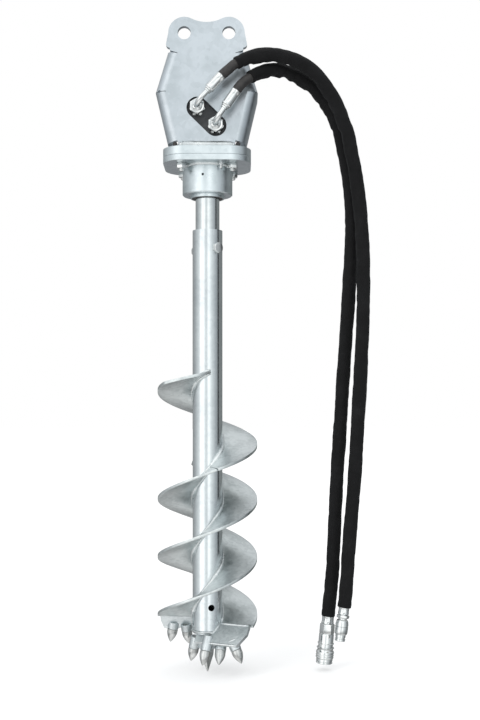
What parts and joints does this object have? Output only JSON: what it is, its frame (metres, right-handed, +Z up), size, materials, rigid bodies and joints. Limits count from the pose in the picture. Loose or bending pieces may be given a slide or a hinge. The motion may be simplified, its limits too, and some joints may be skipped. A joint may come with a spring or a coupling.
{
  "type": "hydraulic earth auger",
  "caption": "Hydraulic earth auger: a formed steel hood with pin holes and a motor, a bearing head, a spiral bit with bullet teeth, and sleeved hoses with quick couplers.",
  "frame": {"origin": "midway between the two pin holes, in the middle of the hood plate's thickness", "axes": "+X to the right as seen from the front, +Y to the back where the motor is, +Z up along the auger"},
  "size_m": [0.4254, 0.218, 1.292],
  "materials": {
    "galvanised": "hot-dip galvanised, spangled",
    "worn_zinc": "dull galvanised",
    "hard_steel": "rough, satin",
    "zinc_plate": "zinc plated, satin",
    "black_paint": "semi-gloss black",
    "machined_steel": "turned",
    "bearing_steel": "ground",
    "rubber": "matt",
    "woven_sleeve": "woven nylon",
    "brass": "turned"
  },
  "bodies": {
    "frame": {"hood_plate": "galvanised", "hood_base_plate": "galvanised", "flange_plate": "galvanised", "bearing_housing": "galvanised", "seal_carrier": "galvanised", "flange_bolts": "zinc_plate", "flange_nuts": "zinc_plate", "port_adapters": "zinc_plate", "hose_nuts": "zinc_plate", "plug_hose_stem": "zinc_plate", "socket_hose_stem": "zinc_plate", "plug_hose_ferrule": "zinc_plate", "socket_hose_ferrule": "zinc_plate", "plug_ferrule": "zinc_plate", "plug_body": "zinc_plate", "socket_ferrule": "zinc_plate", "socket_body": "zinc_plate", "motor_housing": "black_paint", "motor_end_cover": "black_paint", "motor_screws": "machined_steel", "gerotor_ring": "machined_steel", "motor_bolts": "machined_steel", "bearing_spacer": "machined_steel", "upper_bearing_outer": "bearing_steel", "lower_bearing_outer": "bearing_steel", "shaft_seal": "rubber", "plug_hose": "rubber", "socket_hose": "rubber", "plug_hose_sleeve": "woven_sleeve", "socket_hose_sleeve": "woven_sleeve"},
    "auger": {"output_shaft": "machined_steel", "shaft_nut": "machined_steel", "upper_bearing_inner": "bearing_steel", "lower_bearing_inner": "bearing_steel", "motor_shaft": "machined_steel", "drive_key": "machined_steel", "gerotor_star": "machined_steel", "auger_tube": "galvanised", "cross_bolt": "zinc_plate", "cross_nut": "zinc_plate", "flight_upper": "worn_zinc", "flight_lower": "worn_zinc", "flight_second": "worn_zinc", "end_plug": "worn_zinc", "pilot_point": "hard_steel", "cutting_plate_right": "worn_zinc", "cutting_plate_left": "worn_zinc", "tooth_holders": "worn_zinc"},
    "upper_balls": {"upper_bearing_balls": "bearing_steel"},
    "lower_balls": {"lower_bearing_balls": "bearing_steel"},
    "lock_sleeve": {"socket_lock_sleeve": "zinc_plate"},
    "socket_poppet": {"socket_valve": "brass"},
    "plug_poppet": {"plug_valve": "brass"},
    "right_outer_tooth_body": {"right_outer_tooth": "hard_steel"},
    "right_inner_tooth_body": {"right_inner_tooth": "hard_steel"},
    "centre_tooth_body": {"centre_tooth": "hard_steel"},
    "left_inner_tooth_body": {"left_inner_tooth": "hard_steel"},
    "left_middle_tooth_body": {"left_middle_tooth": "hard_steel"},
    "left_outer_tooth_body": {"left_outer_tooth": "hard_steel"}
  },
  "joints": [
    {"name": "auger_spin", "type": "hinge", "parent": "frame", "child": "auger", "pos_m": [0, 0.06, -0.3], "axis": [0, 0, -1], "continuous": true},
    {"name": "upper_balls_spin", "type": "hinge", "parent": "frame", "child": "upper_balls", "pos_m": [0, 0.06, -0.257], "axis": [0, 0, -1], "continuous": true},
    {"name": "lower_balls_spin", "type": "hinge", "parent": "frame", "child": "lower_balls", "pos_m": [0, 0.06, -0.29], "axis": [0, 0, -1], "continuous": true},
    {"name": "right_outer_tooth_spin", "type": "hinge", "parent": "auger", "child": "right_outer_tooth_body", "pos_m": [0.05786, 0.01202, -1.20704], "axis": [0.383, -0.1786, -0.9063], "continuous": true},
    {"name": "right_inner_tooth_spin", "type": "hinge", "parent": "auger", "child": "right_inner_tooth_body", "pos_m": [0.02666, 0.01808, -1.211], "axis": [-0.0996, -0.5649, -0.8192], "continuous": true},
    {"name": "centre_tooth_spin", "type": "hinge", "parent": "auger", "child": "centre_tooth_body", "pos_m": [-0.00273, 0.02292, -1.2121], "axis": [-0.2149, -0.3069, -0.9272], "continuous": true},
    {"name": "left_inner_tooth_spin", "type": "hinge", "parent": "auger", "child": "left_inner_tooth_body", "pos_m": [-0.02727, 0.05985, -1.2132], "axis": [-0.2241, 0.1294, -0.9659], "continuous": true},
    {"name": "left_middle_tooth_spin", "type": "hinge", "parent": "auger", "child": "left_middle_tooth_body", "pos_m": [-0.04252, 0.0835, -1.1835], "axis": [0.121, 0.2095, -0.9703], "continuous": true},
    {"name": "left_outer_tooth_spin", "type": "hinge", "parent": "auger", "child": "left_outer_tooth_body", "pos_m": [-0.07119, 0.08395, -1.17965], "axis": [-0.1801, 0.104, -0.9781], "continuous": true},
    {"name": "lock_sleeve_slide", "type": "slide", "parent": "frame", "child": "lock_sleeve", "axis": [0.0872, 0, 0.9962], "range_m": [0, 0.006], "stiffness_N_per_m": 1500, "springref_m": -0.01},
    {"name": "socket_valve_slide", "type": "slide", "parent": "frame", "child": "socket_poppet", "axis": [0.0872, 0, 0.9962], "range_m": [0, 0.005], "stiffness_N_per_m": 1000, "springref_m": -0.01},
    {"name": "plug_valve_slide", "type": "slide", "parent": "frame", "child": "plug_poppet", "axis": [0.1305, 0, 0.9914], "range_m": [0, 0.005], "stiffness_N_per_m": 1000, "springref_m": -0.01}
  ],
  "couplings": [
    {"joint": "upper_balls_spin", "follows": "auger_spin", "ratio": 0.42},
    {"joint": "lower_balls_spin", "follows": "auger_spin", "ratio": 0.42}
  ]
}
